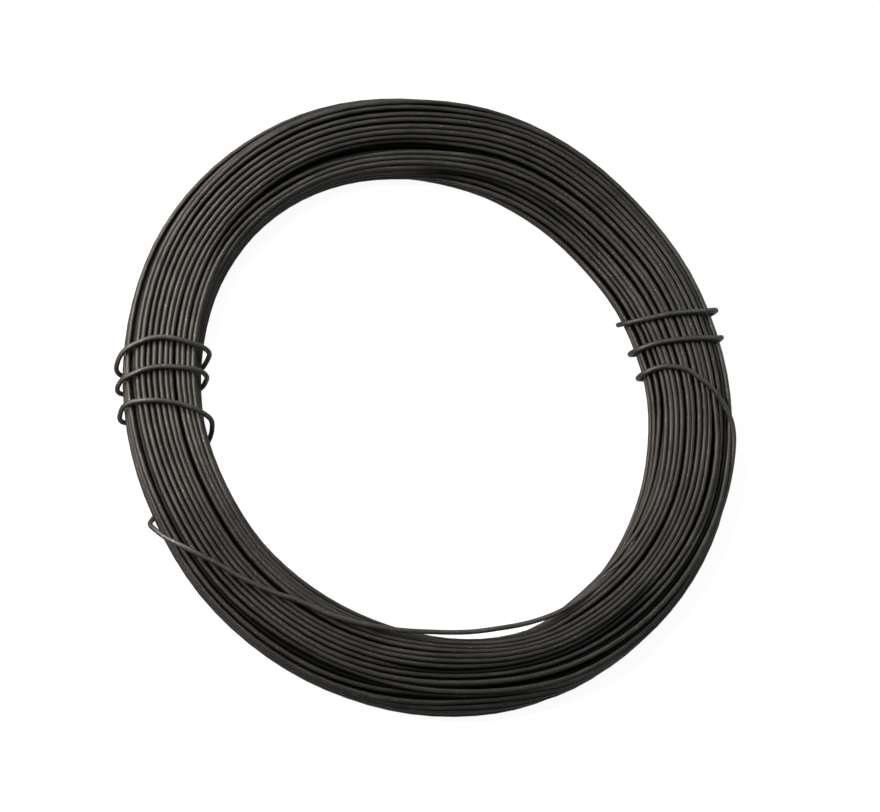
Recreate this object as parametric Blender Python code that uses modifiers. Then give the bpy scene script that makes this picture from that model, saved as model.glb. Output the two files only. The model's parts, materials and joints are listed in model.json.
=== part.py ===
# Coil of black annealed binding wire, tied with its own two ends.
#
# The coil lies on the floor at z = 0 with its axis on +Z. It is one length of wire, so it is
# one object: a turned ring whose skin shows the turns, with the two ends of the wire fused
# to it where they leave the winding. Each end is lashed round the ring's section. The ring
# humps up over the lashings' lower passes and lies flat on the floor everywhere else.

import math

import bmesh
import bpy
import numpy as np

MM = 0.001

# The wire
WIRE_DIAMETER = 1.2 * MM
SEAT_GAP = 0.3 * MM  # clear space between a lashing and the turns under it

# The wound ring
BORE_DIAMETER = 111.3 * MM
WINDING_WIDTH = 19.95 * MM  # from the bore to the outer side
RING_HEIGHT = 8.6 * MM
BELLY_HEIGHT = 3.9 * MM  # where the section is widest
BASE_WIDTH = 9.0 * MM  # the flat stretch of lowest turns
SHOULDER_FULLNESS = 2.5  # 2 is an elliptical shoulder, more is squarer
RING_STEPS = 40
SHOULDER_SAMPLES = 60

# The hump over each lashing: from and to what azimuth it is fully raised, in degrees
INNER_END_HUMP = (167.0, 203.0)
OUTER_END_HUMP = (8.0, 26.0)
HUMP_RAMP = 20.0
FULL_TURN = 360.0

# The routes of the two ends, as stations of (turns round the section, azimuth in degrees,
# slack off the ring). Round the section 0 is the outer side, 1/4 the top, 1/2 the inner
# side and 3/4 the underside. A negative slack lies inside the winding.
ROOT_SLACK = -2.1 * MM
OUTER_END_ROUTE = [
    (0.05, -38.0, ROOT_SLACK),
    (0.05, -28.0, ROOT_SLACK / 2),
    (0.05, -20.0, -0.5 * MM),
    (0.05, -14.4, 0.1 * MM),
    (0.05, -9.4, 0.4 * MM),
    (0.05, -4.9, 0.5 * MM),
    (0.07, -1.7, 0.4 * MM),
    (0.09, 1.3, 0.1 * MM),
    (0.13, 3.1, 0.0),
    (0.18, 5.1, 0.0),
    (0.22, 7.1, 0.0),
    (0.27, 8.6, 0.0),
    (0.36, 10.3, 0.0),
    (0.43, 10.6, 0.1 * MM),
    (0.49, 10.5, 0.7 * MM),
    (0.75, 12.2, 0.0),
    (0.98, 15.0, 0.6 * MM),
    (1.10, 14.8, 0.1 * MM),
    (1.18, 15.1, 0.0),
    (1.28, 15.8, 0.0),
    (1.37, 16.4, 0.0),
    (1.45, 16.5, 0.4 * MM),
    (1.54, 17.0, 1.1 * MM),
    (1.75, 18.0, 0.0),
    (1.98, 20.1, 1.8 * MM),
    (2.11, 20.1, 0.3 * MM),
    (2.18, 20.8, 0.0),
    (2.28, 21.7, 0.0),
    (2.37, 22.5, 0.0),
    (2.45, 23.4, 0.2 * MM),
    (2.51, 24.1, 0.5 * MM),
    (2.75, 23.0, 0.0),
    (2.90, 22.0, 0.0),
]
INNER_END_ROUTE = [
    (0.42, 324.0, ROOT_SLACK),
    (0.42, 315.0, ROOT_SLACK / 2),
    (0.42, 307.5, 0.1 * MM),
    (0.42, 299.5, 0.4 * MM),
    (0.43, 291.4, 0.6 * MM),
    (0.44, 283.6, 0.8 * MM),
    (0.44, 276.0, 0.8 * MM),
    (0.44, 269.0, 0.6 * MM),
    (0.43, 263.4, 0.5 * MM),
    (0.40, 253.6, 0.2 * MM),
    (0.36, 244.1, 0.0),
    (0.32, 234.8, 0.0),
    (0.28, 230.5, 0.0),
    (0.24, 226.3, 0.0),
    (0.20, 222.2, 0.0),
    (0.16, 218.1, 0.0),
    (0.11, 214.4, 0.0),
    (0.06, 210.9, 0.1 * MM),
    (0.02, 208.2, 0.2 * MM),
    (-0.02, 205.6, 0.7 * MM),
    (-0.08, 203.8, 0.8 * MM),
    (-0.25, 199.5, 0.0),
    (-0.46, 192.4, 0.6 * MM),
    (-0.50, 189.6, 0.9 * MM),
    (-0.55, 187.6, 0.8 * MM),
    (-0.60, 186.6, 0.3 * MM),
    (-0.65, 185.4, 0.0),
    (-0.76, 184.3, 0.0),
    (-0.86, 183.8, 0.0),
    (-0.94, 183.8, 0.1 * MM),
    (-0.98, 184.8, 0.9 * MM),
    (-1.06, 185.0, 0.5 * MM),
    (-1.25, 181.8, 0.0),
    (-1.46, 178.2, 0.5 * MM),
    (-1.51, 176.7, 0.9 * MM),
    (-1.58, 176.6, 0.2 * MM),
    (-1.66, 176.6, 0.0),
    (-1.75, 176.9, 0.0),
    (-1.85, 177.6, 0.0),
    (-1.94, 178.7, 0.1 * MM),
    (-1.99, 179.8, 0.8 * MM),
    (-2.07, 179.4, 0.4 * MM),
    (-2.25, 176.4, 0.0),
    (-2.45, 173.6, 0.4 * MM),
    (-2.49, 171.6, 1.2 * MM),
    (-2.53, 170.5, 1.2 * MM),
    (-2.59, 170.8, 0.3 * MM),
    (-2.65, 170.8, 0.0),
    (-2.75, 170.7, 0.0),
    (-2.86, 171.6, 0.0),
    (-2.94, 173.2, 0.1 * MM),
    (-2.98, 175.2, 0.8 * MM),
    (-3.05, 176.2, 0.8 * MM),
    (-3.25, 173.5, 0.0),
    (-3.40, 171.5, 0.0),
]
ROUTE_SAMPLES = 24  # points read from the smooth route between two stations
LONGEST_RUN = 5 * WIRE_DIAMETER  # between two points of a tube
SHARPEST_BEND = math.radians(24.0)  # between two points of a tube
TUBE_RESOLUTION = 2  # gives eight sides

SMOOTH_ANGLE = math.radians(30.0)
WIRE_COLOUR = (0.055, 0.050, 0.045, 1.0)


def remove_objects():
    for item in list(bpy.data.objects):
        bpy.data.objects.remove(item, do_unlink=True)


def new_collection(name):
    collection = bpy.data.collections.new(name)
    bpy.context.scene.collection.children.link(collection)
    return collection


def wire_material():
    material = bpy.data.materials.new("black_annealed_steel")
    material.use_nodes = True
    shader = material.node_tree.nodes["Principled BSDF"]
    shader.inputs["Base Color"].default_value = WIRE_COLOUR
    shader.inputs["Metallic"].default_value = 0.6
    shader.inputs["Roughness"].default_value = 0.55
    material.diffuse_color = WIRE_COLOUR
    return material


# The section of the ring, across (away from the axis) and up, through the centres of the
# turns on its skin

def mean_radius():
    return (BORE_DIAMETER + WINDING_WIDTH) / 2


def shoulder(centre_across, reach_across, reach_up, first_angle, last_angle):
    angles = np.radians(np.linspace(first_angle, last_angle, SHOULDER_SAMPLES))
    power = 2 / SHOULDER_FULLNESS
    across = np.sign(np.cos(angles)) * np.abs(np.cos(angles)) ** power
    up = np.sign(np.sin(angles)) * np.abs(np.sin(angles)) ** power
    return np.column_stack((centre_across + reach_across * across, BELLY_HEIGHT + reach_up * up))


def skin_line():
    """Closed line through the skin's turns: down the outer side, along the base, up the inner."""
    half_width = (WINDING_WIDTH - WIRE_DIAMETER) / 2
    above = RING_HEIGHT - BELLY_HEIGHT - WIRE_DIAMETER / 2
    below = BELLY_HEIGHT - WIRE_DIAMETER / 2
    half_base = BASE_WIDTH / 2
    round_base = half_width - half_base
    return np.vstack((
        shoulder(0.0, half_width, above, 90.0, 0.0),
        shoulder(half_base, round_base, below, 0.0, -90.0)[1:],
        shoulder(-half_base, round_base, below, -90.0, -180.0),
        shoulder(0.0, half_width, above, 180.0, 90.0)[1:],
    ))


class Skin:
    """The skin line, read by the distance along it or by the turn round the section."""

    def __init__(self):
        self.points = skin_line()
        steps = np.linalg.norm(np.diff(self.points, axis=0), axis=1)
        self.along = np.concatenate(([0.0], np.cumsum(steps)))
        self.length = self.along[-1]
        outer = self.along[SHOULDER_SAMPLES - 1]
        self.quarter_marks = [0.0, outer, self.length / 2, self.length - outer, self.length]

    def at(self, distance):
        """Centre and outward normal at a distance from the top."""
        reach = WIRE_DIAMETER / 8
        before = self.point(distance - reach)
        after = self.point(distance + reach)
        forward = (after - before) / np.linalg.norm(after - before)
        return self.point(distance), np.array((-forward[1], forward[0]))

    def point(self, distance):
        wrapped = distance % self.length
        across = np.interp(wrapped, self.along, self.points[:, 0])
        up = np.interp(wrapped, self.along, self.points[:, 1])
        return np.array((across, up))

    def at_turn(self, turn):
        """Centre and outward normal where 0 is the outer side and 1/4 the top."""
        from_top = (0.25 - turn) % 1.0
        return self.at(np.interp(from_top * 4, range(5), self.quarter_marks))


def ring_profile(skin):
    """Each turn on the skin shows as half an octagon: a crest, and flanks down to a valley."""
    turns = round(skin.length / WIRE_DIAMETER)
    pitch = skin.length / turns
    half_crest = WIRE_DIAMETER / 2 * math.tan(math.pi / 8)
    valley_depth = pitch / 2 - half_crest
    profile = []
    for turn in range(turns):
        centre, normal = skin.at((turn + 0.5) * pitch)
        forward = np.array((normal[1], -normal[0]))
        crest = centre + normal * WIRE_DIAMETER / 2
        between, between_normal = skin.at((turn + 1.0) * pitch)
        profile.append(crest - forward * half_crest)
        profile.append(crest + forward * half_crest)
        profile.append(between + between_normal * (WIRE_DIAMETER / 2 - valley_depth))
    return profile


def smooth_step(share):
    share = min(max(share, 0.0), 1.0)
    return share * share * (3 - 2 * share)


def hump(azimuth):
    """How far the ring is raised at an azimuth in degrees, to clear the lashings below it."""
    raised = 0.0
    for first, last in (INNER_END_HUMP, OUTER_END_HUMP):
        middle = (first + last) / 2
        off_middle = abs(math.remainder(azimuth - middle, FULL_TURN))
        past_flat = off_middle - (last - first) / 2
        raised = max(raised, smooth_step(1 - past_flat / HUMP_RAMP))
    return raised * (WIRE_DIAMETER + SEAT_GAP)


def evaluated_mesh(item):
    """The object's mesh with its modifiers applied; the object itself is removed."""
    graph = bpy.context.evaluated_depsgraph_get()
    mesh = bpy.data.meshes.new_from_object(item.evaluated_get(graph))
    mesh.transform(item.matrix_world)
    bpy.data.objects.remove(item, do_unlink=True)
    return mesh


def turned_ring(skin, collection, material):
    profile = ring_profile(skin)
    mesh = bpy.data.meshes.new("binding_wire_profile")
    points = [(mean_radius() + across, 0.0, up) for across, up in profile]
    edges = [(i, (i + 1) % len(points)) for i in range(len(points))]
    mesh.from_pydata(points, edges, [])
    blank = bpy.data.objects.new("binding_wire_profile", mesh)
    collection.objects.link(blank)
    screw = blank.modifiers.new("Turn", "SCREW")
    screw.axis = "Z"
    screw.angle = 2 * math.pi
    screw.steps = RING_STEPS
    screw.render_steps = RING_STEPS
    screw.use_merge_vertices = True
    screw.merge_threshold = 0.00001
    turned = evaluated_mesh(blank)
    for vertex in turned.vertices:
        azimuth = math.degrees(math.atan2(vertex.co.y, vertex.co.x))
        vertex.co.z += hump(azimuth)
    turned.name = "binding_wire"
    turned.materials.append(material)
    turned.shade_smooth()
    turned.set_sharp_from_angle(angle=SMOOTH_ANGLE)
    ring = bpy.data.objects.new("binding_wire", turned)
    collection.objects.link(ring)
    return ring


# The two ends of the wire

def between_stations(stations):
    """A smooth curve through the stations, each of its samples a (turn, azimuth, slack)."""
    rows = np.array(stations)
    padded = np.vstack((2 * rows[0] - rows[1], rows, 2 * rows[-1] - rows[-2]))
    samples = []
    for start in range(len(rows) - 1):
        before, here, there, after = padded[start:start + 4]
        for share in np.arange(ROUTE_SAMPLES) / ROUTE_SAMPLES:
            leave = (there - before) / 2
            arrive = (after - here) / 2
            samples.append(
                here * (2 * share**3 - 3 * share**2 + 1)
                + leave * (share**3 - 2 * share**2 + share)
                + there * (3 * share**2 - 2 * share**3)
                + arrive * (share**3 - share**2)
            )
    samples.append(rows[-1])
    return samples


def route_points(skin, stations):
    """The wire's centre along a route round the ring, which the floor keeps from sagging."""
    points = []
    for turn, azimuth, slack in between_stations(stations):
        centre, normal = skin.at_turn(turn)
        across, up = centre + normal * (WIRE_DIAMETER + SEAT_GAP + slack)
        radius = mean_radius() + across
        angle = math.radians(azimuth)
        height = max(up + hump(azimuth), WIRE_DIAMETER / 2)
        points.append((radius * math.cos(angle), radius * math.sin(angle), height))
    return thinned(np.array(points))


def thinned(points):
    """Keeps a point after each bend or long run, and the two ends."""
    kept = [points[0]]
    run, bend = 0.0, 0.0
    for before, here, after in zip(points, points[1:], points[2:]):
        arriving, leaving = here - before, after - here
        run += np.linalg.norm(arriving)
        cosine = arriving @ leaving / (np.linalg.norm(arriving) * np.linalg.norm(leaving))
        bend += math.acos(min(1.0, cosine))
        if run >= LONGEST_RUN or bend >= SHARPEST_BEND:
            kept.append(here)
            run, bend = 0.0, 0.0
    kept.append(points[-1])
    return kept


def wire_end(name, points, collection):
    curve = bpy.data.curves.new(name, "CURVE")
    curve.dimensions = "3D"
    curve.bevel_depth = WIRE_DIAMETER / 2
    curve.bevel_resolution = TUBE_RESOLUTION
    curve.use_fill_caps = True
    spline = curve.splines.new("POLY")
    spline.points.add(len(points) - 1)
    for control, point in zip(spline.points, points):
        control.co = (*point, 1.0)
    path = bpy.data.objects.new(name, curve)
    collection.objects.link(path)
    mesh = evaluated_mesh(path)
    welded = bmesh.new()
    welded.from_mesh(mesh)
    bmesh.ops.remove_doubles(welded, verts=welded.verts, dist=0.00001)
    bmesh.ops.recalc_face_normals(welded, faces=welded.faces)
    welded.to_mesh(mesh)
    welded.free()
    mesh.shade_smooth()
    mesh.set_sharp_from_angle(angle=SMOOTH_ANGLE)
    tube = bpy.data.objects.new(name, mesh)
    tube.hide_render = True
    tube.display_type = "WIRE"
    collection.objects.link(tube)
    return tube


def fuse(body, tool):
    union = body.modifiers.new(f"Fuse {tool.name}", "BOOLEAN")
    union.operation = "UNION"
    union.solver = "EXACT"
    union.object = tool


def build_coil():
    remove_objects()
    model = new_collection("binding_wire_coil")
    tools = new_collection("wire_ends")
    skin = Skin()
    coil = turned_ring(skin, model, wire_material())
    for name, route in (("outer_end", OUTER_END_ROUTE), ("inner_end", INNER_END_ROUTE)):
        fuse(coil, wire_end(name, route_points(skin, route), tools))


build_coil()
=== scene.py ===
import json
import math

import bpy
import numpy as np
from mathutils import Matrix, Vector

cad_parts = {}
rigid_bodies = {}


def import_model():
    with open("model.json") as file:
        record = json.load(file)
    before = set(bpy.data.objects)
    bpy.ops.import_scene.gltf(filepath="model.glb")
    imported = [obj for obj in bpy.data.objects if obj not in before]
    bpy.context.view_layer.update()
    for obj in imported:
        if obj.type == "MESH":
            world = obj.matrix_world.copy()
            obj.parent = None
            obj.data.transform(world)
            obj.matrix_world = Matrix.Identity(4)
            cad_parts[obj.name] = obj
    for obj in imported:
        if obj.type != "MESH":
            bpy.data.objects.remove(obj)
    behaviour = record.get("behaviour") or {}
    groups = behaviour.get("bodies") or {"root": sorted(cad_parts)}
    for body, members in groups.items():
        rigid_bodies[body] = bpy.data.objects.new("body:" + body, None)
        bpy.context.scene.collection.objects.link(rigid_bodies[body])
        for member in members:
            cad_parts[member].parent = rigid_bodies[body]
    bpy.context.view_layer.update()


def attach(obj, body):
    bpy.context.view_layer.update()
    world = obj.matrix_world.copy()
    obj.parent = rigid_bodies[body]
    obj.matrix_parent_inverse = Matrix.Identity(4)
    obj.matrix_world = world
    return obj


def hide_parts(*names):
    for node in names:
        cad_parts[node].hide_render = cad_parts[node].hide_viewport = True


# A hand-wound coil of black annealed binding wire, tied with its own two ends.
# Section places are (across, up): away from the axis, and above the floor.

mm = 0.001

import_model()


# The wire and its winding

wire = {
    "diameter": 1.2 * mm,
    "turns": 75,
    "bevelResolution": 4,      # twelve sides
    "degreesPerPoint": 4.0,    # along the winding
    "endSpacing": 0.75 * mm,   # along the two lashed ends
    "weldDistance": 0.001 * mm,
    "smoothAngle": 50.0,
}

ring = {
    "boreDiameter": 111.3 * mm,
    "windingWidth": 19.95 * mm,
    "height": 8.6 * mm,
    "bellyHeight": 3.9 * mm,   # where the section is widest
    "baseWidth": 9.0 * mm,
    "fullness": 2.5,           # 2 is an elliptical shoulder, more is squarer
    # how far the hand-wound ring is from round: waves round it, amplitude, degrees
    "outerWaves": ((1, 0.27 * mm, 73.0), (2, 0.70 * mm, 94.0), (3, 0.13 * mm, 101.0)),
    "innerWaves": ((1, 0.79 * mm, 195.0), (2, 0.67 * mm, 251.0), (3, 0.07 * mm, 215.0)),
}

winding = {
    "sections": 36,            # round the ring, where the turns are laid side by side
    "rootAzimuth": 324.0,      # both ends leave the winding here, in degrees
    "skinTurns": 32,           # turns that lie on the skin, the rest are the core
    "skinLoops": 1.935,        # how often those go round the section
    "coreLoops": 2.63,
    "coreSize": (0.12, 0.68),  # height of the core's spiral, as a share of the skin's
    "coreBreadth": 1.42,       # it is broader in proportion
    "coreGrowth": 0.6,         # 1 is an even spiral, less grows fast at first
    "landing": 0.3,            # turns over which the wire passes between the core and the skin
    "rootPoints": 10,          # the first ones, which keep to the root's own turn
    "rootStations": 9,         # of each end's route, which still lie in the winding
    "skinRoom": 1.12,          # the room that a turn keeps, in diameters
    "coreRoom": 1.05,
    "tightRoom": 1.01,         # no turn keeps more than this in the last steps
    "skinLimit": 1.1,          # how far out a turn on the skin may stand, the skin line being 1
    "roomVaries": 0.14,
    "roomSpan": 7,             # sections over which that changes
    "dip": 0.17 * mm,          # how far a turn sinks below the skin
    "dipSpan": 8,
    "wander": 0.22 * mm,       # how far it strays sideways
    "wanderSpan": 9,
    "pull": 0.03,              # towards each turn's own place
    "grip": 0.4,               # of the skin on its turns
    "firmness": 0.35,          # of two turns that touch
    "stiffness": 0.35,
    "looseSteps": 220,
    "tightSteps": 60,
    "seed": 11,
}

# How the turns on top lie, by azimuth in degrees and in millimetres, chosen over the photo.
# Outward shift of a lane from an even spiral
lanes = (
    (0, 1.8), (60, 1.7), (75, 0.9), (90, -0.5), (120, -0.8), (165, -1.1), (190, -1.8),
    (240, -2.5), (270, -4.1), (285, -3.5), (300, -2.0), (324, 0.0), (345, 1.5),
)
# The edges of the winding, off the even ring and trimmed until the outline fitted:
# outer edge, inner edge, both positive where it is wider
edges = (
    (0, 0.4, 0.0), (18, 0.0, 0.1), (35, 0.1, 0.3), (50, 0.6, 0.3), (64, 0.8, 0.4),
    (78, 0.3, 0.2), (92, 0.0, 0.1), (110, 0.2, 0.0), (125, 0.0, 0.0), (150, 0.0, 0.3),
    (190, 0.2, 0.3), (230, 0.2, 0.3), (255, 0.2, 0.1), (270, 0.2, -0.4), (284, 0.2, -1.4),
    (297, 0.2, -1.5), (308, 0.2, -0.3), (322, 0.3, 0.0), (335, 0.7, 0.1), (347, 1.0, 0.1),
)
# Open grooves between two lanes: width, then azimuth and distance across
grooves = (
    (0.7, ((298, -5.4), (310, -4.5), (320, -3.6), (332, -2.9), (342, -2.5))),
    (0.5, ((342, 4.8), (370, 5.7), (390, 5.9), (420, 5.8), (435, 4.9))),
    (0.5, ((390, -3.0), (405, -3.5), (420, -3.8), (440, -5.5), (450, -6.5))),
    (0.7, ((390, -5.4), (405, -6.2), (420, -6.6), (435, -7.4), (445, -8.4))),
    (0.6, ((432, 6.8), (445, 6.5), (455, 6.1), (470, 5.3), (490, 5.0), (515, 4.4))),
    (0.8, ((438, -0.6), (445, -1.4), (455, -2.0), (465, -2.6), (480, -3.6), (510, -4.1), (525, -3.9))),
    (0.6, ((432, -1.6), (440, -2.5), (450, -3.5), (460, -4.4), (480, -5.5), (500, -6.3), (520, -6.5))),
    (0.4, ((540, -1.5), (555, -2.3), (565, -2.9), (575, -3.4))),
    (0.6, ((585, -3.5), (595, -3.6), (605, -5.0), (615, -5.4))),
    (0.7, ((628, 4.2), (635, 4.2), (645, 5.0), (655, 6.2), (665, 6.6), (678, 7.2))),
)
# Hollows, where the lanes lie deeper, and with a minus a ridge: depth, half width, then the same
hollows = (
    (1.2, 1.6, ((608, 1.2), (625, 0.2), (635, -0.4), (645, 0.0), (655, 0.8), (665, 1.6), (690, 2.6))),
    (-0.4, 1.3, ((590, 3.8), (600, 3.6), (630, 3.0), (645, 3.5), (660, 4.5), (680, 6.3), (705, 8.1))),
    (-0.4, 2.0, ((655, -6.8), (670, -7.0), (690, -7.2), (715, -7.2), (730, -7.2))),
    (0.7, 1.3, ((435, -1.0), (460, -2.6), (480, -3.0), (505, -3.9), (520, -3.9))),
    (0.8, 1.2, ((395, -6.0), (420, -6.6), (440, -8.0), (455, -8.8))),
    (0.6, 1.2, ((580, 6.6), (610, 6.8), (645, 7.1), (655, 7.3))),
)
fadeDegrees = 15.0             # over which a groove or hollow begins and ends

lashing = {
    "seat": 1.25 * mm,         # from the centre of a turn on the skin to the wire's own centre
    "rise": 1.5 * mm,          # the ring humps up this far, to clear the lower passes
    "ramp": 20.0,
    "humps": ((167.0, 203.0), (8.0, 26.0)),
}

# The routes of the two ends: turns round the section (0 outer side, 1/4 top, 1/2 inner side),
# azimuth in degrees, slack off the ring
rootSlack = -lashing["seat"]
outerEndRoute = [
    (0.05, -36.0, rootSlack),
    (0.05, -28.0, -1.0 * mm),
    (0.04, -20.0, -0.6 * mm),
    (0.03, -13.8, -0.3 * mm),
    (0.03, -9.0, -0.1 * mm),
    (0.04, -4.6, 0.0),
    (0.06, -1.7, 0.0),
    (0.09, 0.5, 0.0),
    (0.13, 2.9, 0.0),
    (0.17, 4.9, 0.0),
    (0.23, 7.2, 0.0),
    (0.28, 9.1, 0.0),
    (0.36, 10.4, 0.0),
    (0.42, 10.6, 0.0),
    (0.46, 10.3, 0.0),
    (0.50, 10.1, 0.1 * mm),
    (0.56, 10.3, 0.0),
    (0.64, 10.9, 0.0),
    (0.78, 12.4, 0.0),
    (0.90, 13.9, 0.0),
    (0.95, 15.0, 0.0),
    (1.02, 15.0, -0.3 * mm),
    (1.09, 14.7, 0.0),
    (1.17, 15.2, 0.0),
    (1.27, 15.8, 0.0),
    (1.36, 16.3, 0.0),
    (1.44, 16.4, 0.0),
    (1.49, 16.5, 0.1 * mm),
    (1.54, 16.7, 0.2 * mm),
    (1.60, 16.9, 0.0),
    (1.75, 18.0, 0.0),
    (1.90, 19.4, 0.0),
    (1.96, 20.0, 0.3 * mm),
    (2.00, 20.0, 0.6 * mm),
    (2.05, 19.9, 0.5 * mm),
    (2.10, 20.1, 0.2 * mm),
    (2.18, 20.8, 0.0),
    (2.27, 21.7, 0.0),
    (2.37, 22.4, 0.0),
    (2.44, 23.3, 0.0),
    (2.49, 24.2, 0.0),
    (2.55, 24.8, 0.0),
    (2.64, 24.6, 0.0),
    (2.75, 23.6, 0.0),
    (2.90, 22.0, 0.0),
]
innerEndRoute = [
    (0.42, 324.0, rootSlack),
    (0.42, 315.0, -1.0 * mm),
    (0.42, 307.5, 0.1 * mm),
    (0.42, 299.5, 0.4 * mm),
    (0.43, 291.4, 0.6 * mm),
    (0.44, 283.6, 0.8 * mm),
    (0.44, 276.0, 0.8 * mm),
    (0.44, 269.0, 0.6 * mm),
    (0.43, 263.4, 0.5 * mm),
    (0.40, 253.6, 0.2 * mm),
    (0.36, 244.1, 0.0),
    (0.32, 234.8, 0.0),
    (0.28, 230.5, 0.0),
    (0.24, 226.3, 0.0),
    (0.20, 222.2, 0.0),
    (0.16, 218.1, 0.0),
    (0.11, 214.4, 0.0),
    (0.06, 210.9, 0.1 * mm),
    (0.02, 208.2, 0.2 * mm),
    (-0.01, 206.3, 0.5 * mm),
    (-0.04, 204.9, 0.8 * mm),
    (-0.08, 203.9, 0.7 * mm),
    (-0.14, 202.6, 0.1 * mm),
    (-0.25, 200.0, 0.0),
    (-0.38, 196.0, 0.0),
    (-0.45, 192.6, 0.3 * mm),
    (-0.49, 190.2, 0.5 * mm),
    (-0.53, 188.3, 0.4 * mm),
    (-0.58, 186.9, 0.2 * mm),
    (-0.64, 185.6, 0.1 * mm),
    (-0.71, 184.6, 0.0),
    (-0.81, 183.9, 0.0),
    (-0.89, 183.7, 0.0),
    (-0.94, 183.7, 0.0),
    (-0.98, 184.1, 0.2 * mm),
    (-1.01, 185.1, 0.4 * mm),
    (-1.06, 185.8, 0.3 * mm),
    (-1.14, 185.4, 0.0),
    (-1.25, 182.9, 0.0),
    (-1.38, 180.5, 0.0),
    (-1.46, 178.9, 0.3 * mm),
    (-1.50, 177.7, 0.4 * mm),
    (-1.54, 177.1, 0.4 * mm),
    (-1.58, 176.6, 0.2 * mm),
    (-1.64, 176.5, 0.0),
    (-1.72, 176.7, 0.0),
    (-1.80, 177.0, 0.0),
    (-1.88, 177.7, 0.0),
    (-1.93, 178.5, 0.0),
    (-1.97, 179.1, 0.2 * mm),
    (-2.01, 180.0, 0.4 * mm),
    (-2.06, 180.5, 0.3 * mm),
    (-2.14, 180.0, 0.0),
    (-2.25, 177.4, 0.0),
    (-2.40, 175.0, 0.1 * mm),
    (-2.46, 173.9, 0.5 * mm),
    (-2.49, 172.4, 0.7 * mm),
    (-2.52, 171.3, 0.8 * mm),
    (-2.57, 170.8, 0.4 * mm),
    (-2.61, 170.7, 0.1 * mm),
    (-2.68, 170.6, 0.0),
    (-2.77, 170.7, 0.0),
    (-2.85, 171.4, 0.0),
    (-2.91, 172.5, 0.0),
    (-2.96, 173.7, 0.2 * mm),
    (-2.99, 175.0, 0.5 * mm),
    (-3.02, 176.2, 0.6 * mm),
    (-3.07, 177.0, 0.4 * mm),
    (-3.14, 176.8, 0.0),
    (-3.25, 174.0, 0.0),
    (-3.40, 172.0, 0.0),
]


def waveSum(waves, azimuth):
    return sum(size * np.cos(np.radians(count * azimuth - crest)) for count, size, crest in waves)


def middleRadius(azimuth):
    ringRadius = (ring["boreDiameter"] + ring["windingWidth"]) / 2
    return ringRadius + (waveSum(ring["outerWaves"], azimuth) + waveSum(ring["innerWaves"], azimuth)) / 2


def halfWidth(azimuth):
    waves = waveSum(ring["outerWaves"], azimuth) - waveSum(ring["innerWaves"], azimuth)
    return (ring["windingWidth"] - wire["diameter"] + waves) / 2


shoulderSamples = 60
routeSamples = 24              # between two stations of an end's route
tableSamples = 12              # between two rows of a table

evenHalfWidth = (ring["windingWidth"] - wire["diameter"]) / 2
halfBase = ring["baseWidth"] / 2
reachAbove = ring["height"] - ring["bellyHeight"] - wire["diameter"] / 2
reachBelow = ring["bellyHeight"] - wire["diameter"] / 2


def lengthAlong(points):
    return np.concatenate(([0.0], np.cumsum(np.linalg.norm(np.diff(points, axis=0), axis=1))))


# The skin line runs through the centres of the outermost turns, from the top down the outer side

def shoulder(centre, reach, rise, first, last):
    angles = np.radians(np.linspace(first, last, shoulderSamples))
    power = 2 / ring["fullness"]
    across = np.sign(np.cos(angles)) * np.abs(np.cos(angles)) ** power
    up = np.sign(np.sin(angles)) * np.abs(np.sin(angles)) ** power
    return np.column_stack((centre + reach * across, ring["bellyHeight"] + rise * up))


def makeSkin():
    roundBase = evenHalfWidth - halfBase
    line = np.vstack((
        shoulder(0.0, evenHalfWidth, reachAbove, 90.0, 0.0),
        shoulder(halfBase, roundBase, reachBelow, 0.0, -90.0)[1:],
        shoulder(-halfBase, roundBase, reachBelow, -90.0, -180.0),
        shoulder(0.0, evenHalfWidth, reachAbove, 180.0, 90.0)[1:],
    ))
    along = lengthAlong(line)
    outer = along[shoulderSamples - 1]
    marks = [0.0, outer, along[-1] / 2, along[-1] - outer, along[-1]]    # one at each quarter turn
    return line, along, marks


skinLine, skinAlong, skinMarks = makeSkin()


def skinPoint(distance):
    wrapped = distance % skinAlong[-1]
    return np.array([np.interp(wrapped, skinAlong, skinLine[:, axis]) for axis in (0, 1)])


def offSkin(turn, azimuth, offset):
    # across and up of a point that stands off the skin line at a turn round the section
    distance = np.interp(((0.25 - turn) % 1.0) * 4, range(5), skinMarks)
    reach = wire["diameter"] / 8
    forward = skinPoint(distance + reach) - skinPoint(distance - reach)
    forward /= np.linalg.norm(forward)
    centre = skinPoint(distance)
    across = centre[0] * halfWidth(azimuth) / evenHalfWidth - forward[1] * offset
    return np.array([across, centre[1] + forward[0] * offset])


def smoothStep(share):
    share = np.clip(share, 0.0, 1.0)
    return share * share * (3 - 2 * share)


def hump(azimuth):
    raised = np.zeros_like(np.asarray(azimuth, float))
    for first, last in lashing["humps"]:
        offMiddle = np.abs((azimuth - (first + last) / 2 + 180.0) % 360.0 - 180.0)
        raised = np.maximum(raised, smoothStep(1 - (offMiddle - (last - first) / 2) / lashing["ramp"]))
    return raised * lashing["rise"]


def inSpace(azimuth, across, up):
    radius = middleRadius(azimuth) + across
    height = np.maximum(up + hump(azimuth), wire["diameter"] / 2)
    angle = np.radians(azimuth)
    return np.column_stack((radius * np.cos(angle), radius * np.sin(angle), height))


def throughStations(stations, samples):
    # a smooth curve through the stations
    rows = np.array(stations, float)
    padded = np.vstack((2 * rows[0] - rows[1], rows, 2 * rows[-1] - rows[-2]))
    share = (np.arange(samples) / samples)[:, None]
    curve = []
    for start in range(len(rows) - 1):
        before, here, there, after = padded[start:start + 4]
        curve.append(
            here * (2 * share**3 - 3 * share**2 + 1)
            + (there - before) / 2 * (share**3 - 2 * share**2 + share)
            + there * (3 * share**2 - 2 * share**3)
            + (after - here) / 2 * (share**3 - share**2)
        )
    return np.vstack(curve + [rows[-1:]])


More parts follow.
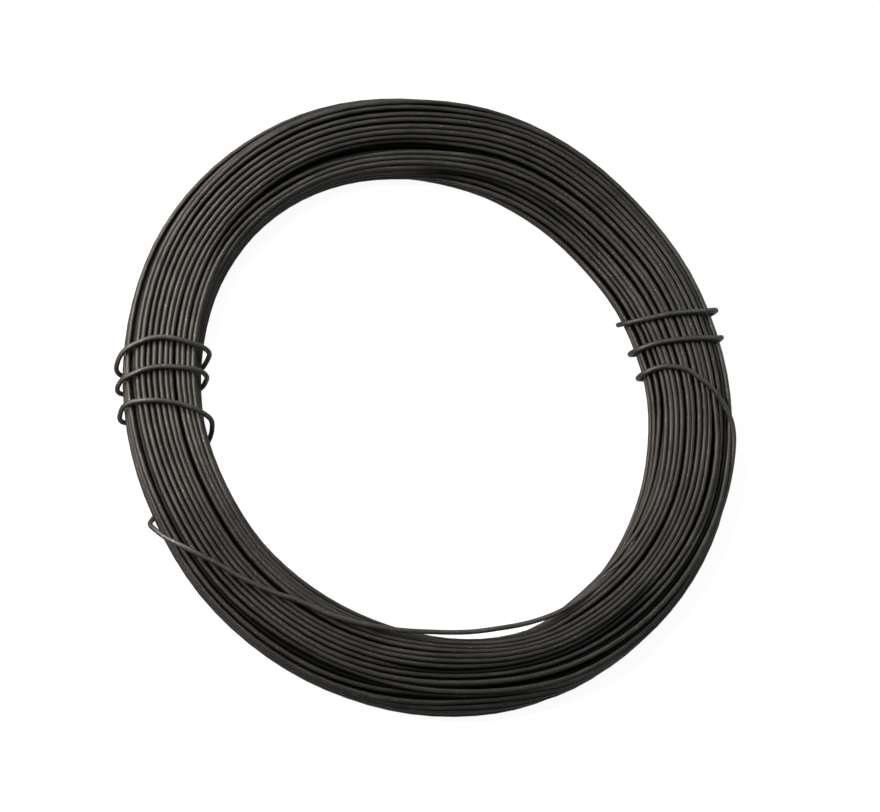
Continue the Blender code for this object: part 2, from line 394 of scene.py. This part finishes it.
def evenlySpaced(points, spacing):
    along = lengthAlong(points)
    marks = np.linspace(0.0, along[-1], round(along[-1] / spacing) + 1)
    return np.column_stack([np.interp(marks, along, points[:, axis]) for axis in range(3)])


def lashedEnd(route):
    rows = throughStations(route, routeSamples)
    places = np.array([offSkin(turn, azimuth, lashing["seat"] + slack) for turn, azimuth, slack in rows])
    return rows[:, 1], places


def slowNoise(random, count, span):
    # random values that change slowly along the wire
    knots = random.normal(size=count // span + 3)
    return throughStations(knots[:, None], span)[:count, 0]


def around(stations, azimuth):
    # values that are given at azimuths, closed round the ring
    closing = (stations[0][0] + 360.0,) + stations[0][1:]
    fine = throughStations(stations + (closing,), tableSamples)
    columns = range(1, fine.shape[1])
    return [np.interp(azimuth, fine[:, 0], fine[:, column] * mm, period=360.0) for column in columns]


def onRoute(route, azimuth):
    # how far across a groove or hollow is at an azimuth, and how much of it there is near its ends
    rows = np.array(route, float)
    here = rows[0, 0] + (azimuth - rows[0, 0]) % 360.0
    share = smoothStep(np.minimum(here - rows[0, 0], rows[-1, 0] - here) / fadeDegrees)
    return np.interp(here, rows[:, 0], rows[:, 1]) * mm, share


def sideWidth(across, azimuth):
    outer, inner = around(edges, azimuth)
    return halfWidth(azimuth) + np.where(across >= 0, outer, inner)


def gauge(points, width, base=halfBase):
    # how far out of the section's middle the points are, the skin line being 1
    across = np.abs(points[..., 0]) * evenHalfWidth / width
    up = points[..., 1] - ring["bellyHeight"]
    flat = np.where(up >= 0, 0.0, base)
    reach = np.where(up >= 0, reachAbove, reachBelow)
    power = ring["fullness"]
    aside = np.maximum(across - flat, 0.0) / (evenHalfWidth - flat)
    return (aside ** power + (np.abs(up) / reach) ** power) ** (1 / power) + 1e-6


def resized(points, width, factor, base=halfBase):
    # the points are moved in or out of the section by a factor
    across = points[..., 0] * evenHalfWidth / width
    up = points[..., 1] - ring["bellyHeight"]
    flat = np.where(up >= 0, 0.0, np.minimum(np.abs(across), base))
    moved = np.sign(across) * (flat + (np.abs(across) - flat) * factor)
    return np.stack((moved * width / evenHalfWidth, ring["bellyHeight"] + up * factor), axis=-1)


def pushApart(points, room, fixed, fixedRoom):
    # points and room: section, turn; fixed: section, other things that pass there
    count = points.shape[1]
    everyone = np.concatenate((points, fixed), axis=1)
    everyRoom = np.concatenate((room, fixedRoom), axis=1)
    offset = points[:, :, None] - everyone[:, None]
    distance = np.sqrt((offset ** 2).sum(axis=-1)) + 1e-9
    wanted = (room[:, :, None] + everyRoom[:, None]) / 2
    push = np.maximum(wanted - distance, 0.0) * winding["firmness"]
    push[:, np.arange(count), np.arange(count)] = 0.0
    return (offset / distance[..., None] * push[..., None]).sum(axis=2)


def sunk(places, azimuth):
    # how deep the hollows are at places on top of the winding
    depth = np.zeros(len(azimuth))
    for deep, reach, route in hollows:
        middle, share = onRoute(route, azimuth)
        depth += deep * mm * share * np.exp(-((places[:, 0] - middle) / (reach * mm)) ** 2)
    return np.where(places[:, 1] > ring["bellyHeight"], depth, 0.0)


def idealTurns(random, azimuth):
    # one long spiral in the section: through the core, then round the skin
    turns, skinTurns = wire["turns"], winding["skinTurns"]
    number = np.arange(len(azimuth)) / winding["sections"]
    core = np.clip(number / (turns - skinTurns), 0.0, 1.0)
    skin = np.clip((number - (turns - skinTurns)) / skinTurns, 0.0, 1.0)
    first, last = innerEndRoute[0][0], outerEndRoute[0][0]
    start = last - winding["skinLoops"]
    grown = core ** winding["coreGrowth"]
    coreTurn = start - winding["coreLoops"] * (1 - grown)
    turn = np.where(skin > 0, start + winding["skinLoops"] * skin, coreTurn)
    least, most = winding["coreSize"]
    size = least + (most - least) * grown
    landing = winding["landing"]
    onSkin = np.maximum(smoothStep(skin * skinTurns / landing), smoothStep(1 - number / landing))
    stray = winding["wander"] * slowNoise(random, len(azimuth), winding["wanderSpan"])
    turn = turn - (around(lanes, azimuth)[0] + stray) / skinAlong[-1]
    turn[:winding["rootPoints"]] = first
    along = np.interp(((0.25 - turn) % 1.0) * 4, range(5), skinMarks)
    places = np.column_stack([np.interp(along, skinAlong, skinLine[:, axis]) for axis in (0, 1)])
    width = sideWidth(places[:, 0], azimuth) * (1 + (winding["coreBreadth"] - 1) * (1 - onSkin))
    places[:, 0] *= width / evenHalfWidth
    dip = winding["dip"] * np.clip(1 + slowNoise(random, len(azimuth), winding["dipSpan"]), 0.0, 3.0)
    skinSize = 1 - (dip + sunk(places, azimuth)) / reachAbove
    size = size + (skinSize - size) * onSkin
    return resized(places, width, size, halfBase * onSkin), size, onSkin


def passing(azimuth, step):
    # what else takes room in each section: the two ends near their roots, and the grooves
    places = np.full((len(azimuth), 2 + len(grooves), 2), 1.0)
    rooms = np.full(places.shape[:2], wire["diameter"])
    for other, route in enumerate((outerEndRoute, innerEndRoute)):
        passAzimuth, crossing = lashedEnd(route[:winding["rootStations"]])
        for section in range(1, len(azimuth)):
            away = np.abs((passAzimuth - azimuth[section] + 180.0) % 360.0 - 180.0)
            if away.min() < step / 2:
                places[section, other] = crossing[away.argmin()]
    for other, (wide, route) in enumerate(grooves, 2):
        across, share = onRoute(route, azimuth)
        flat = np.minimum(np.abs(across) / sideWidth(across, azimuth), 1.0)
        up = ring["bellyHeight"] + reachAbove * (1 - flat ** ring["fullness"]) ** (1 / ring["fullness"])
        there = share > 0
        places[there, other] = np.column_stack((across, up))[there]
        rooms[:, other] = wide * mm * share
    return places, rooms


def windTurns():
    turns, sections = wire["turns"], winding["sections"]
    random = np.random.default_rng(winding["seed"])
    step = 360.0 / sections
    azimuth = winding["rootAzimuth"] + step * np.arange(turns * sections + 1)
    ideal, size, onSkin = idealTurns(random, azimuth)
    roomVaries = 1 + winding["roomVaries"] * slowNoise(random, len(azimuth) - 1, winding["roomSpan"])
    room = winding["coreRoom"] + (winding["skinRoom"] - winding["coreRoom"]) * onSkin[:-1]
    fixed, fixedRoom = passing(azimuth[:sections], step)
    first = offSkin(*innerEndRoute[0][:2], 0.0)
    last = offSkin(*outerEndRoute[0][:2], 0.0)
    fixed[0, 0] = last

    def bySection(values):
        return values.reshape(turns, sections, -1).swapaxes(0, 1)

    def alongWire(values):
        return values.swapaxes(0, 1).reshape(turns * sections, -1)

    wantedSize = bySection(size[:-1])[..., 0]
    onSkin = bySection(onSkin[:-1])[..., 0]
    coreLimit = winding["coreSize"][1] + (winding["skinLimit"] - winding["coreSize"][1]) * onSkin
    room = bySection(room * roomVaries * wire["diameter"])[..., 0]
    tightRoom = np.full_like(room, winding["tightRoom"] * wire["diameter"])
    edge = halfWidth(azimuth[:sections])[:, None]
    outer, inner = (edge + change[:, None] for change in around(edges, azimuth[:sections]))
    breadth = 1 + (winding["coreBreadth"] - 1) * (1 - onSkin)
    points = ideal.copy()
    for number in range(winding["looseSteps"] + winding["tightSteps"]):
        loose = number < winding["looseSteps"]
        moved = points - ideal
        moved[1:-1] += winding["stiffness"] * ((moved[:-2] + moved[2:]) / 2 - moved[1:-1])
        points = ideal + moved * (1 - winding["pull"] if loose else 1.0)
        now = bySection(points[:-1])
        now = now + pushApart(now, room if loose else np.minimum(room, tightRoom), fixed, fixedRoom)
        width = np.where(now[..., 0] >= 0, outer, inner) * breadth
        out = gauge(now, width, halfBase * onSkin)
        factor = np.minimum(1.0, coreLimit / out)
        factor *= 1 + winding["grip"] * onSkin * (wantedSize / out / factor - 1)
        points[:-1] = alongWire(resized(now, width, factor, halfBase * onSkin))
        points[0] = first
        points[-1] = last
    return azimuth, points


def coverOf(points):
    # how deep points in space lie below the skin line, in metres
    azimuth = np.degrees(np.arctan2(points[:, 1], points[:, 0]))
    across = np.hypot(points[:, 0], points[:, 1]) - middleRadius(azimuth)
    places = np.column_stack((across, points[:, 2] - hump(azimuth)))
    width = sideWidth(across, azimuth)
    small = 0.01 * mm
    out = gauge(places, width)
    outAcross = gauge(places + (small, 0.0), width) - out
    outUp = gauge(places + (0.0, small), width) - out
    return (1 - out) / (np.hypot(outAcross, outUp) / small)


def woundPath():
    azimuth, points = windTurns()
    samples = round(360.0 / winding["sections"] / wire["degreesPerPoint"] * 2)
    rows = throughStations(np.column_stack((azimuth, points)), samples)
    wanted = np.arange(azimuth[0], azimuth[-1], wire["degreesPerPoint"])
    across, up = (np.interp(wanted, rows[:, 0], rows[:, column]) for column in (1, 2))
    coil = inSpace(wanted, across, up)
    ends = []
    for route in (innerEndRoute, outerEndRoute):
        endAzimuth, places = lashedEnd(route)
        ends.append(evenlySpaced(inSpace(endAzimuth, places[:, 0], places[:, 1]), wire["endSpacing"]))
    inner, outer = ends
    return np.vstack((inner[:0:-1], coil, outer))


def deselectAll():
    for item in bpy.context.scene.objects:
        item.select_set(False)


def selectOnly(item):
    deselectAll()
    item.select_set(True)
    bpy.context.view_layer.objects.active = item


def wireFromPath(name, path):
    curve = bpy.data.curves.new(name, "CURVE")
    curve.dimensions = "3D"
    curve.bevel_depth = wire["diameter"] / 2
    curve.bevel_resolution = wire["bevelResolution"]
    curve.use_fill_caps = True
    spline = curve.splines.new("POLY")
    spline.points.add(len(path) - 1)
    spline.points.foreach_set("co", np.column_stack((path, np.ones(len(path)))).ravel())
    item = bpy.data.objects.new(name, curve)
    bpy.context.scene.collection.objects.link(item)
    selectOnly(item)
    bpy.ops.object.convert(target="MESH")
    item = bpy.context.object
    bpy.ops.object.mode_set(mode="EDIT")
    bpy.ops.mesh.select_all(action="SELECT")
    bpy.ops.mesh.remove_doubles(threshold=wire["weldDistance"])
    bpy.ops.object.mode_set(mode="OBJECT")
    bpy.ops.object.shade_smooth_by_angle(angle=math.radians(wire["smoothAngle"]))
    # the UV map's u is made the length along the wire, in metres
    along = lengthAlong(path)
    layer = item.data.uv_layers[0].data
    uv = np.empty(len(layer) * 2)
    layer.foreach_get("uv", uv)
    uv[0::2] = np.interp(uv[0::2] * (len(path) - 1), np.arange(len(path)), along)
    layer.foreach_set("uv", uv)
    print("wire", name, "length", round(along[-1], 2), "m, points", len(path))
    return item


# Finishes

steel = {
    "dark": (0.0094, 0.0094, 0.0084, 1.0),
    "light": (0.0240, 0.0239, 0.0214, 1.0),
    "mottling": (0.05, 0.24),              # all dark at the first, all light at the last
    "grainScale": 2600.0,
    "patchScale": 140.0,
    "streakScale": (160.0, 9.0, 1.0),      # along the wire, then round it
    "speck": (0.107, 0.104, 0.097, 1.0),
    "speckScale": 2000.0,
    "speckRange": (0.67, 0.73),            # higher is fewer specks
    "speckShare": 0.5,
    "metallic": 0.95,
    "roughness": (0.52, 0.66),
    "bumpStrength": 0.5,
    "bumpDepth": 0.05 * mm,
    "unshaded": (-0.4 * mm, 0.85 * mm),      # unshaded at the first depth, in full painted shade at the last
    "shadedShare": 0.05,                      # share of the colour that is left in the full painted shade
    "standsOff": (0.7 * mm, 1.2 * mm),     # wire this far off the winding is made lighter still
    "offWindingLift": 0.42,                       # by this
}


def markPaintedShade(item):
    # painted shade: the colour is kept most where the wire lies open and least deep between the turns; wire
    # that stands off the winding is made lighter still
    vertices = np.empty(len(item.data.vertices) * 3)
    item.data.vertices.foreach_get("co", vertices)
    cover = coverOf(vertices.reshape(-1, 3))
    first, last = steel["unshaded"]
    near, far = steel["standsOff"]
    unshaded = smoothStep((last - cover) / (last - first))
    unshaded += steel["offWindingLift"] * smoothStep((-cover - near) / (far - near))
    item.data.attributes.new("unshaded", "FLOAT", "POINT").data.foreach_set("value", unshaded)


def addNode(tree, kind, inputs=None, **settings):
    node = tree.nodes.new(kind)
    for name, value in settings.items():
        setattr(node, name, value)
    for name, value in (inputs or {}).items():
        if isinstance(value, bpy.types.NodeSocket):
            tree.links.new(value, node.inputs[name])
        else:
            node.inputs[name].default_value = value
    return node


def addNoise(tree, place, scale, detail, roughness):
    noise = addNode(tree, "ShaderNodeTexNoise",
                    {"Vector": place, "Scale": scale, "Detail": detail, "Roughness": roughness})
    return noise.outputs["Fac"]


def addMath(tree, operation, first, second):
    return addNode(tree, "ShaderNodeMath", {0: first, 1: second}, operation=operation).outputs[0]


def newMaterial(name):
    material = bpy.data.materials.new(name)
    material.use_nodes = True
    return material, material.node_tree, material.node_tree.nodes["Principled BSDF"]


def blackAnnealedSteel():
    material, tree, shader = newMaterial("blackAnnealedSteel")
    place = addNode(tree, "ShaderNodeTexCoord")
    stretch = addNode(tree, "ShaderNodeMapping",
                      {"Vector": place.outputs["UV"], "Scale": steel["streakScale"]})
    grain = addNoise(tree, place.outputs["Object"], steel["grainScale"], 5.0, 0.65)
    patches = addNoise(tree, place.outputs["Object"], steel["patchScale"], 4.0, 0.6)
    streaks = addNoise(tree, stretch.outputs["Vector"], 1.0, 4.0, 0.6)
    speckNoise = addNoise(tree, place.outputs["Object"], steel["speckScale"], 2.0, 0.5)
    # mottled scale
    tone = addMath(tree, "MULTIPLY", addMath(tree, "MULTIPLY", grain, streaks), patches)
    ramp = addNode(tree, "ShaderNodeValToRGB", {"Fac": tone})
    for element, position, name in zip(ramp.color_ramp.elements, steel["mottling"], ("dark", "light")):
        element.position = position
        element.color = steel[name]
    # pale specks
    faintest, palest = steel["speckRange"]
    specks = addNode(tree, "ShaderNodeMapRange",
                     {"Value": speckNoise, "From Min": faintest, "From Max": palest, "To Max": steel["speckShare"]})
    colour = addNode(tree, "ShaderNodeMix", data_type="RGBA")
    tree.links.new(specks.outputs["Result"], colour.inputs["Factor"])
    tree.links.new(ramp.outputs["Color"], colour.inputs["A"])
    colour.inputs["B"].default_value = steel["speck"]
    # painted shade, darker between the turns
    unshaded = addNode(tree, "ShaderNodeAttribute", attribute_name="unshaded")
    kept = addNode(tree, "ShaderNodeMapRange",
                   {"Value": unshaded.outputs["Fac"], "To Min": steel["shadedShare"]}, clamp=False)
    shade = addNode(tree, "ShaderNodeVectorMath", {0: colour.outputs["Result"]}, operation="SCALE")
    tree.links.new(kept.outputs["Result"], shade.inputs["Scale"])
    tree.links.new(shade.outputs["Vector"], shader.inputs["Base Color"])
    # dull sheen and a fine tooth
    smoothest, roughest = steel["roughness"]
    rough = addNode(tree, "ShaderNodeMapRange", {"Value": grain, "To Min": smoothest, "To Max": roughest})
    tree.links.new(rough.outputs["Result"], shader.inputs["Roughness"])
    height = addMath(tree, "ADD", grain, streaks)
    bump = addNode(tree, "ShaderNodeBump",
                   {"Height": height, "Strength": steel["bumpStrength"], "Distance": steel["bumpDepth"]})
    tree.links.new(bump.outputs["Normal"], shader.inputs["Normal"])
    shader.inputs["Metallic"].default_value = steel["metallic"]
    return material


white = (1.0, 1.0, 1.0, 1.0)


def seenRays(tree):
    # 1 for what the camera sees, and for what it sees reflected or through glass
    rays = addNode(tree, "ShaderNodeLightPath")
    seenOrReflected = addMath(tree, "MAXIMUM", rays.outputs["Is Camera Ray"], rays.outputs["Is Glossy Ray"])
    return addMath(tree, "MAXIMUM", seenOrReflected, rays.outputs["Is Transmission Ray"])


def paleFloor(colour, roughness, share):
    # a pale floor that shows as white paper and still keeps a soft shadow
    material, tree, shader = newMaterial("paleFloor")
    shader.inputs["Base Color"].default_value = colour
    shader.inputs["Roughness"].default_value = roughness
    amount = addMath(tree, "MULTIPLY", seenRays(tree), share)
    paper = addNode(tree, "ShaderNodeEmission", {"Color": white, "Strength": 1.0})
    mix = addNode(tree, "ShaderNodeMixShader", {"Fac": amount})
    tree.links.new(shader.outputs["BSDF"], mix.inputs[1])
    tree.links.new(paper.outputs["Emission"], mix.inputs[2])
    tree.links.new(mix.outputs["Shader"], tree.nodes["Material Output"].inputs["Surface"])
    return material


# The piece

print("winding the wire")
boundWire = wireFromPath("bound_wire", woundPath())
print("finishing the wire")
markPaintedShade(boundWire)
boundWire.data.materials.clear()
boundWire.data.materials.append(blackAnnealedSteel())
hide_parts("binding_wire")
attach(boundWire, "root")


# Floor, light and camera

studio = {
    "floorSize": 6.0,
    "floorColour": (0.86, 0.86, 0.85, 1.0),
    "floorRoughness": 0.8,
    "floorWhite": 0.94,            # share of plain white in what is seen of it, the rest is lit
    "worldStrength": 0.3,
    # name, azimuth, elevation, distance, size, spread, watts, colour, and the point that it faces
    "lamps": (
        ("westLamp", 172.0, 40.0, 0.65, 0.40, 28.0, 1.95, (1.0, 0.87, 0.84), (-0.065, 0.01, 0.0)),
        ("shoulderLamp", 127.0, 42.0, 0.65, 0.20, 21.0, 0.69, (1.0, 0.91, 0.885), (-0.09, 0.035, 0.0)),
        ("northLamp", 85.0, 46.0, 0.65, 0.20, 26.0, 0.085, (0.95, 1.0, 0.98), (-0.062, 0.045, 0.0)),
        ("rightLamp", 40.0, 40.0, 0.80, 0.06, 14.0, 0.042, (0.92, 0.99, 0.98), (0.073, 0.022, 0.0)),
    ),
}

view = {
    "distance": 2.5,
    "tilt": 26.3,              # from straight down
    "tiltAxis": -48.4,         # degrees in the floor that the camera is tilted about
    "metresPerPixel": 0.2339 * mm,
    "imageSize": (880, 812),
    "axisPixel": (428.6, 404.5),
    "axisHeight": 4.3 * mm,
    "sensor": 36.0,
}


def makeFloor():
    deselectAll()
    bpy.ops.mesh.primitive_plane_add(size=studio["floorSize"])
    floor = bpy.context.object
    floor.name = "floor"
    floor.data.materials.append(
        paleFloor(studio["floorColour"], studio["floorRoughness"], studio["floorWhite"]))


def makeLamp(name, azimuth, elevation, distance, size, spread, watts, colour, facing):
    lamp = bpy.data.lights.new(name, "AREA")
    lamp.shape = "DISK"
    lamp.size = size
    lamp.spread = math.radians(spread)
    lamp.energy = watts
    lamp.color = colour
    item = bpy.data.objects.new(name, lamp)
    bpy.context.scene.collection.objects.link(item)
    flat, steep = math.radians(azimuth), math.radians(elevation)
    away = Vector((math.cos(flat) * math.cos(steep), math.sin(flat) * math.cos(steep), math.sin(steep)))
    item.location = away * distance + Vector(facing)
    item.rotation_euler = away.to_track_quat("Z", "Y").to_euler()


def makeWorld():
    world = bpy.data.worlds.new("studio")
    bpy.context.scene.world = world
    world.use_nodes = True
    tree = world.node_tree
    ambient = tree.nodes["Background"]
    ambient.inputs["Color"].default_value = white
    ambient.inputs["Strength"].default_value = studio["worldStrength"]
    paper = addNode(tree, "ShaderNodeBackground", {"Color": white, "Strength": 1.0})
    mix = addNode(tree, "ShaderNodeMixShader", {"Fac": seenRays(tree)})
    tree.links.new(ambient.outputs["Background"], mix.inputs[1])
    tree.links.new(paper.outputs["Background"], mix.inputs[2])
    tree.links.new(mix.outputs["Shader"], tree.nodes["World Output"].inputs["Surface"])


def makeCamera():
    axis = math.radians(view["tiltAxis"])
    turned = Matrix.Rotation(math.radians(view["tilt"]), 3, Vector((math.cos(axis), math.sin(axis), 0.0)))
    right, up, back = turned.col
    wide, high = view["imageSize"]
    offRight = (wide / 2 - view["axisPixel"][0]) * view["metresPerPixel"]
    offUp = (view["axisPixel"][1] - high / 2) * view["metresPerPixel"]
    aim = Vector((0.0, 0.0, view["axisHeight"])) + right * offRight + up * offUp
    camera = bpy.data.objects.new("camera", bpy.data.cameras.new("camera"))
    bpy.context.scene.collection.objects.link(camera)
    camera.data.sensor_width = view["sensor"]
    camera.data.lens = view["sensor"] * view["distance"] / (wide * view["metresPerPixel"])
    camera.rotation_euler = turned.to_euler()
    camera.location = aim + back * view["distance"]
    bpy.context.scene.camera = camera


print("setting the floor, lamps and camera")
makeFloor()
for row in studio["lamps"]:
    makeLamp(*row)
makeWorld()
makeCamera()
bpy.context.scene.view_settings.view_transform = "Standard"
